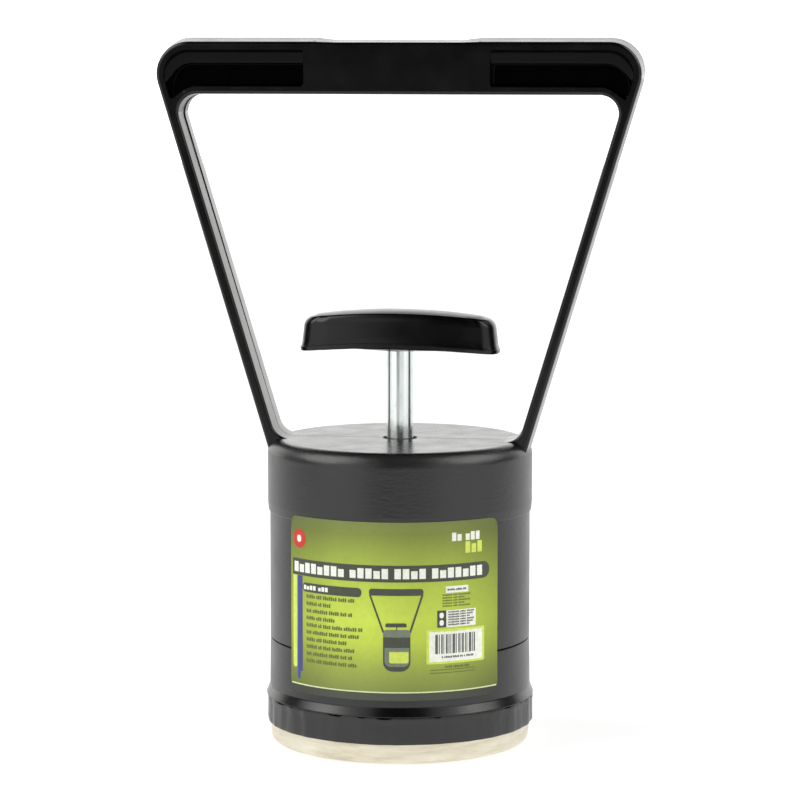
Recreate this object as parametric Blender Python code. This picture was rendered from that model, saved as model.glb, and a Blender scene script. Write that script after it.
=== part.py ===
"""Hand-held magnetic pick-up tool with a quick-release pull handle.

A round black canister stands on a stainless base cup. A trapezoid carrying handle is moulded in
one piece with the upper housing. Inside, a pot magnet hangs on a plated rod that comes up through
the deck to a T-shaped pull handle. Pulling the T lifts the magnet off the base against a spring,
and what the base held drops off.

Frame: +Z up along the canister's axis, the carrying handle lies in the XZ plane, and the origin is
the centre of the base's flat bottom face. Lengths below are in millimetres.
"""
import math

import bmesh
import bpy
from mathutils import Vector

MM = 0.001
GAP = 0.3                      # clearance kept between touching pieces

# Canister
BODY_RADIUS = 30.2
COLLAR_RADIUS = 30.7
DECK_Z = 70.7                  # top of the housing
DECK_THICKNESS = 3.0
DECK_EDGE_RADIUS = 3.4
DECK_HOLE_RADIUS = 4.25
COLLAR_Z = 56.2                # lower end of the thicker collar
COLLAR_TAPER = 2.2
WALL = 2.5
SEAM_Z = 24.3                  # joint between the upper housing and the lower sleeve
SEAM_GAP = 0.3
LAP = 4.0                      # height of the lap joint above the seam
SLEEVE_SPIGOT_RADIUS = 28.6    # the sleeve's lip inside the housing
SLEEVE_BORE_RADIUS = 26.6
SLEEVE_FOOT_Z = 2.2
SLEEVE_DRAFT = 0.15            # how much the sleeve widens towards its bead
FLARE_RADIUS = 31.2            # bead round the sleeve's lower edge
FLARE_Z = 10.9
FLARE_HEIGHT = 2.0

# Base cup, band and label
CUP_RADIUS = 30.1
CUP_WALL = 0.8
CUP_CORNER = 1.5
BAND_Z = 4.7
BAND_RADIUS = 30.85
BAND_LIP_RADIUS = 31.1         # the band's upper edge swells under the sleeve's bead
LABEL_THICKNESS = 0.25
LABEL_Z = (14.8, 55.6)
LABEL_ANGLES = (-46.8, 54.8)   # degrees round from -Y towards +X

# Carrying handle
HANDLE_DEPTH = 12.4
HANDLE_DRAFT = 0.25            # each face is smaller than the parting plane by this all round
BAR_TOP_Z = 163.0
BAR_HEIGHT = 13.05
ARM_LEAN = math.radians(16.8)
ARM_OUTER_AT_DECK = 31.0
ARM_THICKNESS = 2.9
CORNER_OUT = 7.6
CORNER_IN = 4.2
FOOT_FILLET = 4.4
FOOT_LAP = 0.05                # the arms start this far above the deck
FOOT_DEPTH = 1.7               # and are rooted this deep in it
FOOT_WALL_DEPTH = 5.2          # their outer edge runs down inside the wall to here
RECESS_RIM = 2.0
RECESS_TOP_RIM = 2.8
RECESS_INNER_X = 21.5
RECESS_DEPTH = 4.6
RECESS_TIP_DROP = 3.3          # how far the recess follows the arm below the bar
RECESS_TIP_WIDTH = 4.4

# Rod, pull handle and travel
ROD_RADIUS = 3.2
BORE_RADIUS = ROD_RADIUS + GAP
ROD_BOTTOM_Z = 1.4
ROD_TOP_Z = 97.2
TRAVEL = 25.4
PULL_HALF_LENGTH = 23.3
PULL_HALF_DEPTH = 7.0
PULL_CROWN_Z = 100.65
PULL_TOP_DROP = 1.95           # how much lower the crown is at the ends
PULL_BOTTOM_Z = 91.8
PULL_BOTTOM_DROP = 1.3
PULL_END_RADIUS = 2.8
PULL_END_LEAN = math.radians(7.0)
PULL_EDGE_RADIUS = 2.2
PULL_TURN = math.radians(-3.4)     # how the free-turning T stands at rest
INSERT_RADIUS = 4.6
INSERT_Z = (92.6, 97.6)

# Magnet carriage
POT_RADIUS = 25.6
POT_Z = (1.1, 15.1)
POT_WALL = 1.8
POT_PLATE = 2.5
CORE_RADIUS = 10.0
MAGNET_BORE_RADIUS = 12.5
COUNTERBORE_RADIUS = 6.6
COUNTERBORE_Z = 8.0
NUT_ACROSS_FLATS = 10.0
BOSS_RADIUS = 8.0
BOSS_Z = 60.0
BUSH_RADIUS = 5.0
BUSH_FLANGE_RADIUS = 10.4
BUSH_FLANGE = 1.7
SPRING_MEAN_RADIUS = 8.4
SPRING_WIRE_RADIUS = 0.7
SPRING_TURNS = 8
SPRING_DEAD_RISE = 2.25        # rise of a closed end turn, in wire radii
SPRING_SEAT_RADIUS = 11.0
SPRING_SEAT_SHEET = 1.1
SPRING_SEAT_RIM = 1.6
CLIP_THICKNESS = 0.8
WASHER = 0.8                   # thickness of the plain washers
LOCK_WASHER = 1.4


# ---------------------------------------------------------------- helpers

def material(name, colour, roughness, metallic=0.0):
    mat = bpy.data.materials.new(name)
    mat.use_nodes = True
    shader = mat.node_tree.nodes["Principled BSDF"]
    shader.inputs["Base Color"].default_value = (*colour, 1.0)
    shader.inputs["Roughness"].default_value = roughness
    shader.inputs["Metallic"].default_value = metallic
    return mat


def add_object(name, bm, mat=None, sharp_angle=30.0):
    """Turn a bmesh drawn in millimetres into an object in metres."""
    bmesh.ops.scale(bm, vec=(MM, MM, MM), verts=bm.verts)
    bmesh.ops.recalc_face_normals(bm, faces=bm.faces)
    mesh = bpy.data.meshes.new(name)
    bm.to_mesh(mesh)
    bm.free()
    mesh.shade_smooth()
    mesh.set_sharp_from_angle(angle=math.radians(sharp_angle))
    if mat:
        mesh.materials.append(mat)
    obj = bpy.data.objects.new(name, mesh)
    bpy.context.scene.collection.objects.link(obj)
    return obj


def as_cutter(obj):
    """Mark an object as a tool of a Boolean: it is not a piece of the product."""
    obj.hide_render = True
    obj.display_type = "WIRE"
    return obj


def boolean(obj, tool, operation):
    mod = obj.modifiers.new(tool.name, "BOOLEAN")
    mod.operation = operation
    mod.solver = "EXACT"
    mod.object = as_cutter(tool)


def arc(centre, radius, start_deg, end_deg, steps):
    """Points of an arc in a plane, both ends included."""
    points = []
    for i in range(steps + 1):
        angle = math.radians(start_deg + (end_deg - start_deg) * i / steps)
        points.append((centre[0] + radius * math.cos(angle), centre[1] + radius * math.sin(angle)))
    return points


def rounded(corners, steps=6):
    """Outline through (x, z, radius) corners, each with a radius turned into an arc."""
    outline = []
    count = len(corners)
    for i, (x, z, radius) in enumerate(corners):
        here = Vector((x, z))
        if radius <= 0:
            outline.append((x, z))
            continue
        before = (Vector(corners[i - 1][:2]) - here).normalized()
        after = (Vector(corners[(i + 1) % count][:2]) - here).normalized()
        half = before.angle(after) / 2
        centre = here + (before + after).normalized() * (radius / math.sin(half))
        first = here + before * (radius / math.tan(half)) - centre
        last = here + after * (radius / math.tan(half)) - centre
        start = math.atan2(first.y, first.x)
        sweep = math.atan2(last.y, last.x) - start
        sweep = (sweep + math.pi) % (2 * math.pi) - math.pi
        outline += arc(centre, radius, math.degrees(start), math.degrees(start + sweep), steps)
    return outline


def turned(name, profile, mat=None, segments=64):
    """Solid of revolution about Z of a closed (radius, z) profile."""
    bm = bmesh.new()
    verts = [bm.verts.new((r, 0, z)) for r, z in profile]
    edges = [bm.edges.new((verts[i - 1], verts[i])) for i in range(len(verts))
             if profile[i - 1][0] > 0 or profile[i][0] > 0]
    bmesh.ops.spin(bm, geom=verts + edges, axis=(0, 0, 1), cent=(0, 0, 0),
                   angle=2 * math.pi, steps=segments, use_merge=True)
    bmesh.ops.remove_doubles(bm, verts=bm.verts, dist=1e-4)
    return add_object(name, bm, mat)


def lofted(name, levels, mat=None, sharp_angle=30.0):
    """Closed solid through outlines of equal length, each given as a list of 3-D points."""
    bm = bmesh.new()
    rings = [[bm.verts.new(p) for p in level] for level in levels]
    for lower, upper in zip(rings, rings[1:]):
        for i in range(len(lower)):
            bm.faces.new((lower[i - 1], lower[i], upper[i], upper[i - 1]))
    bm.faces.new(rings[0])
    bm.faces.new(rings[-1])
    return add_object(name, bm, mat, sharp_angle)


def upright(outline, y):
    """Place an (x, z) outline at depth y."""
    return [(x, y, z) for x, z in outline]


def level(outline, z):
    """Place an (x, y) outline at height z."""
    return [(x, y, z) for x, y in outline]


def ring(inner, outer, low, high):
    """Profile of a plain washer or tube."""
    return [(outer, high), (outer, low), (inner, low), (inner, high)]


# ---------------------------------------------------------------- canister

def lean(x, z, z_ref=DECK_Z):
    """x at height z of a line that leans outward like the handle's arms."""
    return x + (z - z_ref) * math.tan(ARM_LEAN)


def handle_outline(inset):
    """Outline in XZ of arms and bar, drawn smaller by inset all round."""
    across = 1 / math.cos(ARM_LEAN)
    outer_x = ARM_OUTER_AT_DECK - inset * across
    inner_x = ARM_OUTER_AT_DECK - (ARM_THICKNESS - inset) * across
    top = BAR_TOP_Z - inset
    under = BAR_TOP_Z - BAR_HEIGHT + inset
    deck = DECK_Z + FOOT_LAP
    root = DECK_Z - FOOT_DEPTH
    wall_foot = DECK_Z - FOOT_WALL_DEPTH
    toe_x = lean(inner_x, deck) - 0.75 * FOOT_FILLET
    wall_x = BODY_RADIUS - WALL + 0.2
    right = [(lean(outer_x, wall_foot), wall_foot, 0),
             (lean(outer_x, top), top, CORNER_OUT - inset)]
    left = [(-x, z, r) for x, z, r in reversed(right)]
    window = [(-wall_x, wall_foot, 0), (-wall_x, root, 0), (-toe_x, root, 0), (-toe_x, deck, 0),
              (-lean(inner_x, deck), deck, FOOT_FILLET),
              (-lean(inner_x, under), under, CORNER_IN + inset)]
    window += [(-x, z, r) for x, z, r in reversed(window)]
    return rounded(right + left + window)


def handle_frame():
    """Arms and bar, with draft away from the parting plane at y = 0."""
    half = HANDLE_DEPTH / 2
    return lofted("handle_frame", [upright(handle_outline(HANDLE_DRAFT), -half),
                                   upright(handle_outline(0.0), 0.0),
                                   upright(handle_outline(HANDLE_DRAFT), half)])


def recess_cutter(side, face):
    """Coring recess in the bar: side is the bar's end, face is front (-1) or rear (+1)."""
    outer_x = ARM_OUTER_AT_DECK - RECESS_RIM / math.cos(ARM_LEAN)
    top = BAR_TOP_Z - RECESS_TOP_RIM
    under = BAR_TOP_Z - BAR_HEIGHT + RECESS_RIM
    tip = under - RECESS_TIP_DROP
    corners = [(RECESS_INNER_X, top, 0.6), (lean(outer_x, top), top, CORNER_OUT - RECESS_RIM),
               (lean(outer_x, tip), tip, 0.7),
               (lean(outer_x, tip) - RECESS_TIP_WIDTH, under, 6.0),
               (RECESS_INNER_X, under, 0.6)]
    outline = [(side * x, z) for x, z in rounded(corners)]
    mouth = face * (HANDLE_DEPTH / 2 + 1)
    floor = face * (HANDLE_DEPTH / 2 - RECESS_DEPTH)
    name = f"recess_{'right' if side > 0 else 'left'}_{'rear' if face > 0 else 'front'}"
    return lofted(name, [upright(outline, mouth), upright(outline, floor)])


def handle_housing(mat):
    """Collar, deck, arms and bar: one moulding."""
    inner = BODY_RADIUS - WALL
    ceiling = DECK_Z - DECK_THICKNESS
    seam = SEAM_Z + SEAM_GAP / 2
    lap_top = SEAM_Z + LAP + GAP
    lap_radius = SLEEVE_SPIGOT_RADIUS + GAP
    bush_bore = BUSH_RADIUS + GAP
    profile = [(DECK_HOLE_RADIUS, DECK_Z)]
    profile += arc((COLLAR_RADIUS - DECK_EDGE_RADIUS, DECK_Z - DECK_EDGE_RADIUS),
                   DECK_EDGE_RADIUS, 90, 0, 5)
    profile += [(COLLAR_RADIUS, COLLAR_Z), (BODY_RADIUS, COLLAR_Z - COLLAR_TAPER),
                (BODY_RADIUS, seam), (lap_radius, seam), (lap_radius, lap_top),
                (inner, lap_top), (inner, ceiling), (BOSS_RADIUS, ceiling), (BOSS_RADIUS, BOSS_Z),
                (bush_bore, BOSS_Z), (bush_bore, ceiling + 0.6),
                (DECK_HOLE_RADIUS, ceiling + 0.6)]
    housing = turned("handle_housing", profile, mat)
    boolean(housing, handle_frame(), "UNION")
    for side in (-1, 1):
        for face in (-1, 1):
            boolean(housing, recess_cutter(side, face), "DIFFERENCE")
    return housing


def lower_sleeve(mat):
    """Short sleeve below the seam: a lip up into the housing and a spigot down into the cup."""
    seam = SEAM_Z - SEAM_GAP / 2
    spigot = CUP_RADIUS - CUP_WALL - 0.4
    profile = [(SLEEVE_SPIGOT_RADIUS, seam + LAP), (SLEEVE_SPIGOT_RADIUS, seam),
               (BODY_RADIUS, seam), (BODY_RADIUS + SLEEVE_DRAFT, FLARE_Z + FLARE_HEIGHT)]
    profile += [(FLARE_RADIUS, FLARE_Z + 0.9), (FLARE_RADIUS, FLARE_Z + 0.2),
                (FLARE_RADIUS - 0.2, FLARE_Z), (spigot, FLARE_Z), (spigot, SLEEVE_FOOT_Z),
                (SLEEVE_BORE_RADIUS, SLEEVE_FOOT_Z), (SLEEVE_BORE_RADIUS, seam + LAP)]
    return turned("lower_sleeve", profile, mat)


def base_cup(mat):
    """Drawn stainless cup that closes the canister."""
    rim_z = FLARE_Z - GAP
    inner = CUP_RADIUS - CUP_WALL
    corner = (CUP_RADIUS - CUP_CORNER, CUP_CORNER)
    outside = arc(corner, CUP_CORNER, 0, -90, 4)
    inside = arc(corner, CUP_CORNER - CUP_WALL, -90, 0, 3)
    profile = [(CUP_RADIUS, rim_z)] + outside + [(0, 0), (0, CUP_WALL)] + inside + [(inner, rim_z)]
    return turned("base_cup", profile, mat)


def seal_band(mat):
    """Black band over the joint between cup and sleeve."""
    inner = CUP_RADIUS + GAP
    top = FLARE_Z - 0.2
    profile = [(BAND_LIP_RADIUS, top), (BAND_LIP_RADIUS, top - 0.4), (BAND_RADIUS, top - 1.5),
               (BAND_RADIUS, BAND_Z), (inner, BAND_Z), (inner, top)]
    return turned("seal_band", profile, mat)


def label(mat):
    """Thin curved label round the front of the canister. Its top edge laps onto the taper."""
    steps = 24
    start, end = (angle - 90 for angle in LABEL_ANGLES)
    taper_foot = COLLAR_Z - COLLAR_TAPER
    rise = (COLLAR_RADIUS - BODY_RADIUS) * (LABEL_Z[1] - taper_foot) / COLLAR_TAPER
    levels = []
    for z, radius in ((LABEL_Z[0], BODY_RADIUS + SLEEVE_DRAFT), (SEAM_Z, BODY_RADIUS),
                      (taper_foot, BODY_RADIUS), (LABEL_Z[1], BODY_RADIUS + rise)):
        inner = radius + GAP
        outline = arc((0, 0), inner + LABEL_THICKNESS, start, end, steps)
        outline += arc((0, 0), inner, end, start, steps)
        levels.append(level(outline, z))
    return lofted("label", levels, mat)


# ---------------------------------------------------------------- pull handle and rod

def pull_outline(inset):
    """Front view of the T: arched top and underside, ends that lean outward to the bottom.

    The outline is drawn smaller by inset at the top and ends, and by a quarter of it underneath.
    """
    steps = 6
    crown = PULL_CROWN_Z - inset
    under = PULL_BOTTOM_Z + inset / 4
    bottom_x = PULL_HALF_LENGTH - inset
    top_x = bottom_x - (crown - under) * math.tan(PULL_END_LEAN)
    corners = []
    for crown_z, drop, end_x, end_radius in (
            (crown, PULL_TOP_DROP, top_x, PULL_END_RADIUS - inset / 2),
            (under, PULL_BOTTOM_DROP, -bottom_x, 0.7)):
        for i in range(steps + 1):
            across = 1 - 2 * i / steps
            radius = end_radius if i in (0, steps) else 0
            corners.append((end_x * across, crown_z - drop * across ** 2, radius))
    return rounded(corners, 5)


def pull_handle(mat):
    """Moulded T with rounded edges and a pocket for the threaded insert."""
    steps = 3
    quarter = [math.pi / 2 * i / steps for i in range(steps + 1)]
    flat = PULL_HALF_DEPTH - PULL_EDGE_RADIUS
    half = [upright(pull_outline(PULL_EDGE_RADIUS * (1 - math.cos(a))),
                    flat + PULL_EDGE_RADIUS * math.sin(a)) for a in quarter]
    mirrored = [[(x, -y, z) for x, y, z in ring_points] for ring_points in reversed(half)]
    handle = lofted("pull_handle", mirrored + half, mat)
    passage = (PULL_BOTTOM_Z - 3, INSERT_Z[0] - GAP)
    pocket = turned("insert_pocket",
                    [(0, INSERT_Z[1] + GAP), (INSERT_RADIUS + GAP, INSERT_Z[1] + GAP),
                     (INSERT_RADIUS + GAP, passage[1]), (BORE_RADIUS, passage[1]),
                     (BORE_RADIUS, passage[0]), (0, passage[0])], segments=24)
    boolean(handle, pocket, "DIFFERENCE")
    return handle


def handle_insert(mat):
    """Brass threaded insert moulded into the T."""
    return turned("handle_insert", ring(BORE_RADIUS, INSERT_RADIUS, *INSERT_Z), mat, 24)


def pull_rod(mat, groove_z):
    """Plated rod with chamfered ends and a groove for the stop clip."""
    chamfer = 0.6
    groove = ROD_RADIUS - 0.7
    profile = [(0, ROD_TOP_Z), (ROD_RADIUS - chamfer, ROD_TOP_Z), (ROD_RADIUS, ROD_TOP_Z - chamfer),
               (ROD_RADIUS, groove_z + CLIP_THICKNESS + GAP), (groove, groove_z + CLIP_THICKNESS + GAP),
               (groove, groove_z - GAP), (ROD_RADIUS, groove_z - GAP),
               (ROD_RADIUS, ROD_BOTTOM_Z + chamfer), (ROD_RADIUS - chamfer, ROD_BOTTOM_Z),
               (0, ROD_BOTTOM_Z)]
    return turned("pull_rod", profile, mat, 32)


def stop_clip(mat, groove_z):
    """Open retaining ring that meets the bush at the end of the pull."""
    outline = arc((0, 0), ROD_RADIUS + 2.1, 35, 325, 20)
    outline += arc((0, 0), ROD_RADIUS - 0.7 + GAP, 325, 35, 20)
    return lofted("stop_clip", [level(outline, groove_z), level(outline, groove_z + CLIP_THICKNESS)],
                  mat)


def hex_nut(name, low, high, mat):
    """Plain hexagon nut with a round bore."""
    bm = bmesh.new()
    sides = 6
    steps = 4                  # bore points for each flat
    corner_radius = NUT_ACROSS_FLATS / 2 / math.cos(math.pi / sides)
    rings = []
    for radius_is_bore, z in ((False, low), (False, high), (True, high), (True, low)):
        points = []
        for i in range(sides * steps):
            angle = 2 * math.pi * i / (sides * steps)
            radius = BORE_RADIUS
            if not radius_is_bore:
                offset = (angle % (math.pi / 3)) - math.pi / 6
                radius = corner_radius * math.cos(math.pi / sides) / math.cos(offset)
            points.append(bm.verts.new((radius * math.cos(angle), radius * math.sin(angle), z)))
        rings.append(points)
    for a, b in zip(rings, rings[1:] + rings[:1]):
        for i in range(len(a)):
            bm.faces.new((a[i - 1], a[i], b[i], b[i - 1]))
    return add_object(name, bm, mat)


# ---------------------------------------------------------------- inside

def guide_bush(mat):
    """Flanged bush that guides the rod and seats the spring's top."""
    flange_low = BOSS_Z - GAP - BUSH_FLANGE
    top = DECK_Z - DECK_THICKNESS + 0.3
    profile = [(BUSH_RADIUS, top), (BUSH_RADIUS, BOSS_Z - GAP), (BUSH_FLANGE_RADIUS, BOSS_Z - GAP),
               (BUSH_FLANGE_RADIUS, flange_low), (BORE_RADIUS, flange_low), (BORE_RADIUS, top)]
    return turned("guide_bush", profile, mat, 40)


def return_spring(mat, low, high):
    """Round-wire coil spring with closed end turns."""
    wire = SPRING_WIRE_RADIUS
    bm = bmesh.new()
    turn_steps = 20
    sides = 6
    dead = SPRING_DEAD_RISE * wire
    active = (high - low - 2 * wire - 2 * dead) / (SPRING_TURNS - 2)
    rings = []
    for i in range(SPRING_TURNS * turn_steps + 1):
        turns = i / turn_steps
        rise = dead * min(turns, 1) + active * min(max(turns - 1, 0), SPRING_TURNS - 2)
        rise += dead * max(turns - (SPRING_TURNS - 1), 0)
        angle = 2 * math.pi * turns
        outward = Vector((math.cos(angle), math.sin(angle), 0))
        centre = outward * SPRING_MEAN_RADIUS + Vector((0, 0, low + wire + rise))
        section = []
        for k in range(sides):
            around = 2 * math.pi * k / sides
            offset = outward * math.cos(around) + Vector((0, 0, math.sin(around)))
            section.append(bm.verts.new(centre + offset * wire))
        rings.append(section)
    for lower, upper in zip(rings, rings[1:]):
        for k in range(sides):
            bm.faces.new((lower[k - 1], lower[k], upper[k], upper[k - 1]))
    bm.faces.new(rings[0])
    bm.faces.new(rings[-1])
    return add_object("return_spring", bm, mat, 60.0)


def upper_washer(mat):
    """Steel washer that keeps the spring off the bush's flange."""
    high = BOSS_Z - 2 * GAP - BUSH_FLANGE
    return turned("upper_washer", ring(BUSH_RADIUS + 0.6, BUSH_FLANGE_RADIUS, high - WASHER, high),
                  mat, 40)


def spring_seat(mat, low):
    """Dished washer that carries the spring's lower end."""
    rim = SPRING_SEAT_RIM
    sheet = SPRING_SEAT_SHEET
    outer = SPRING_SEAT_RADIUS
    profile = [(outer, low + sheet + rim), (outer, low), (BORE_RADIUS, low), (BORE_RADIUS, low + sheet),
               (outer - 0.9, low + sheet), (outer - 0.9, low + sheet + rim)]
    return turned("spring_seat", profile, mat, 40)


def magnet_pot(mat):
    """Steel pot, open downward, that carries the magnet's flux to the base."""
    low, high = POT_Z
    inner = POT_RADIUS - POT_WALL
    profile = [(BORE_RADIUS, high), (POT_RADIUS - 0.8, high), (POT_RADIUS, high - 0.8),
               (POT_RADIUS, low), (inner, low), (inner, high - POT_PLATE),
               (BORE_RADIUS, high - POT_PLATE)]
    return turned("magnet_pot", profile, mat, 48)


def ring_magnet(mat):
    """Ferrite ring inside the pot."""
    high = POT_Z[1] - POT_PLATE - GAP
    profile = ring(MAGNET_BORE_RADIUS, POT_RADIUS - POT_WALL - GAP, POT_Z[0] + 0.4, high)
    return turned("ring_magnet", profile, mat, 48)


def centring_ring(mat):
    """Plastic ring that keeps the magnet central round the core."""
    high = POT_Z[1] - POT_PLATE - GAP
    profile = ring(CORE_RADIUS + GAP, MAGNET_BORE_RADIUS - GAP, POT_Z[0] + 0.4, high)
    return turned("centring_ring", profile, mat, 40)


def pole_core(mat):
    """Soft-iron centre pole, counterbored for the nut."""
    low = POT_Z[0]
    high = POT_Z[1] - POT_PLATE - GAP
    profile = [(CORE_RADIUS, high), (CORE_RADIUS, low), (COUNTERBORE_RADIUS, low),
               (COUNTERBORE_RADIUS, COUNTERBORE_Z), (BORE_RADIUS, COUNTERBORE_Z), (BORE_RADIUS, high)]
    return turned("pole_core", profile, mat, 40)


def lock_washer(mat, low):
    """Split spring washer under the magnet's nut."""
    outline = arc((0, 0), ROD_RADIUS + 2.0, 8, 352, 24)
    outline += arc((0, 0), BORE_RADIUS, 352, 8, 24)
    return lofted("lock_washer", [level(outline, low), level(outline, low + LOCK_WASHER)], mat)


# ---------------------------------------------------------------- assembly

def clear_scene():
    for obj in list(bpy.data.objects):
        bpy.data.objects.remove(obj, do_unlink=True)


def build():
    clear_scene()
    black = material("black_plastic", (0.022, 0.022, 0.024), 0.45)
    vinyl = material("band_vinyl", (0.012, 0.012, 0.013), 0.35)
    green = material("label_green", (0.32, 0.42, 0.06), 0.4)
    stainless = material("stainless", (0.66, 0.64, 0.60), 0.3, 1.0)
    zinc = material("zinc_plate", (0.74, 0.76, 0.76), 0.28, 1.0)
    steel = material("spring_steel", (0.45, 0.45, 0.46), 0.35, 1.0)
    iron = material("soft_iron", (0.38, 0.38, 0.39), 0.45, 1.0)
    ferrite = material("ferrite", (0.05, 0.05, 0.055), 0.7)
    brass = material("brass", (0.75, 0.56, 0.25), 0.35, 1.0)
    nylon = material("nylon", (0.80, 0.79, 0.74), 0.45)

    handle_housing(black)
    lower_sleeve(black)
    base_cup(stainless)
    seal_band(vinyl)
    label(green)
    guide_bush(nylon)
    upper_washer(zinc)

    seat_z = POT_Z[1] + GAP
    magnet_pot(iron)
    ring_magnet(ferrite)
    centring_ring(nylon)
    pole_core(iron)
    spring_seat(zinc, seat_z)
    flange_z = BOSS_Z - GAP - BUSH_FLANGE
    spring_low = seat_z + SPRING_SEAT_SHEET + GAP
    return_spring(steel, spring_low, flange_z - 2 * GAP - WASHER)

    turning = bpy.data.objects.new("pull_axis", None)
    bpy.context.scene.collection.objects.link(turning)
    turning.rotation_euler.z = PULL_TURN
    clip_z = flange_z - TRAVEL - CLIP_THICKNESS - 0.1
    washer_z = COUNTERBORE_Z - GAP - WASHER
    lock_z = washer_z - GAP - LOCK_WASHER
    pieces = [pull_handle(black), handle_insert(brass), pull_rod(zinc, clip_z),
              stop_clip(steel, clip_z),
              hex_nut("rod_lock_nut", spring_low, spring_low + 5.0, zinc),
              turned("flat_washer", ring(BORE_RADIUS, ROD_RADIUS + 2.9, washer_z, washer_z + WASHER),
                     zinc, 32),
              lock_washer(steel, lock_z),
              hex_nut("magnet_nut", POT_Z[0] + 0.4, lock_z - GAP, zinc)]
    for piece in pieces:
        piece.parent = turning


build()
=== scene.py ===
"""Looks of a hand-held magnetic pick-up tool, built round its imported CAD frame.

Every piece is drawn in millimetres in the frame of the CAD model and scaled to metres at the end:
+Z is up along the canister's axis, the carrying handle lies in the XZ plane, and the origin is the
centre of the base's flat face.
"""
import math

import bmesh
import bpy
from mathutils import Matrix, Vector, noise


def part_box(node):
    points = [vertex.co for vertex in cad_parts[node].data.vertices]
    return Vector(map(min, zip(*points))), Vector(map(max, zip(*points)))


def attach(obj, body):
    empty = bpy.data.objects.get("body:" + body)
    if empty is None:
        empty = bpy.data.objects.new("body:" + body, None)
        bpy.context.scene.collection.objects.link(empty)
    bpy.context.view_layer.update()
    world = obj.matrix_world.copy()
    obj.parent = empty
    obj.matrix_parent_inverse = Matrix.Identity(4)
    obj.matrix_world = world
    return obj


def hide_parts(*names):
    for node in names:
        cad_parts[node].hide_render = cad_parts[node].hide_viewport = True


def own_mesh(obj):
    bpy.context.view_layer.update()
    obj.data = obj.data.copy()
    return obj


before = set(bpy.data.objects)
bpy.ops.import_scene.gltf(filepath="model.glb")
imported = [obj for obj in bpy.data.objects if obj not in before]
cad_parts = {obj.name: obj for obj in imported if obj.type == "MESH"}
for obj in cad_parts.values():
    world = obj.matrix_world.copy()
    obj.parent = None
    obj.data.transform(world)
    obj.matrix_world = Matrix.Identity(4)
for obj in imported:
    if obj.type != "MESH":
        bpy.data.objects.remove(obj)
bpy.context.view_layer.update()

MM = 0.001
SKIN = 0.05                    # thin clearance between pieces that touch

# Canister
BODY_RADIUS = 30.2
COLLAR_RADIUS = 30.7
DECK_Z = 70.7
DECK_THICKNESS = 3.0
DECK_EDGE_RADIUS = 3.4
DECK_HOLE_RADIUS = 4.0
COLLAR_Z = 56.2
COLLAR_TAPER = 2.2
COLLAR_LEDGE = 0.33            # the collar's taper ends in a small 45 degree ledge
COLLAR_EDGE_ROUND = 5.0
WALL = 2.5
SEAM_Z = 24.3
SEAM_GAP = 0.3
SEAM_BREAK = 0.15              # broken edge of the housing and the sleeve at the seam
LAP = 4.0
SLEEVE_SPIGOT_RADIUS = 28.6
SLEEVE_BORE_RADIUS = 26.6
SLEEVE_FOOT_Z = 2.2
SLEEVE_DRAFT = 0.15
FLARE_RADIUS = 31.2
FLARE_Z = 10.9
FLARE_HEIGHT = 2.25
BOSS_RADIUS = 8.0
BOSS_Z = 60.0
BUSH_RADIUS = 5.0

# Base cup, band and label
CUP_RADIUS = 30.1
CUP_WALL = 0.8
CUP_CORNER = 1.5
BAND_Z = 4.7
BAND_TOP_Z = 10.93
BAND_RADIUS = 30.92
BAND_SWELL = 0.16
BAND_SWELL_Z = 9.4
BAND_SWELL_HEIGHT = 1.4
BAND_TEAR = 0.5                # deepest notch in the band's uneven upper edge
LABEL_Z = (14.8, 55.4)
LABEL_START = -54.8            # degrees round from the picture's centre line
LABEL_END = 46.8
LABEL_CORNER = 2.8
FILM = 0.10                    # thickness of the label
INK = 0.02                     # thickness of what is printed on it
INK_TINTS = {"dark": (80, 84, 74), "small": (112, 122, 66), "slate": (104, 106, 104),
             "white": (248, 250, 238), "yellow": (216, 232, 104), "line": (226, 236, 182),
             "blue": (62, 84, 166), "violet": (92, 78, 134), "grey": (124, 134, 118),
             "red": (205, 66, 54)}

# Carrying handle
HANDLE_DEPTH = 12.4
HANDLE_DRAFT = 0.25
BAR_TOP_Z = 163.0
BAR_HEIGHT = 13.05
ARM_LEAN = math.radians(16.8)
ARM_OUTER_AT_DECK = 31.0
ARM_THICKNESS = 2.9
ROOT_DEPTH = 1.7               # how far the arms run down into the deck
WALL_FOOT_DEPTH = 5.2          # and into the housing's wall
CORNER_OUT = 7.6
CORNER_IN = 4.2
FOOT_FILLET = 4.4
BAR_CROWN = 0.78               # how much more the bar's top falls away towards its faces
BAR_SADDLE = 0.5               # how much lower its ridge is between the recesses
SADDLE_X = (15.0, 19.0)        # the ridge falls between these two places
SADDLE_BEND = 12.0
FACE_ROUND = 0.7               # rounded edge between the handle's faces and sides
FLASH_HEIGHT = 0.22            # thin fin left where the mould's halves meet
FLASH_WIDTH = 0.3
FLASH_REST = 0.02              # what is left of it where it is trimmed off
FLASH_FOOT_Z = 74.2            # the fin is trimmed off below this height
RECESS_RIM = 2.0
RECESS_TOP_RIM = 2.8
RECESS_INNER_X = 21.5
RECESS_DEPTH = 4.6
RECESS_MOUTH_ROUND = 0.12
RECESS_FLOOR_ROUND = 0.3
RECESS_SLOPE = 2.9             # how far the upper side slopes in before it drops to the floor
RECESS_SLOPE_END = math.radians(38)
RECESS_TIP_DROP = 3.3
RECESS_TIP_WIDTH = 4.4

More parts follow.
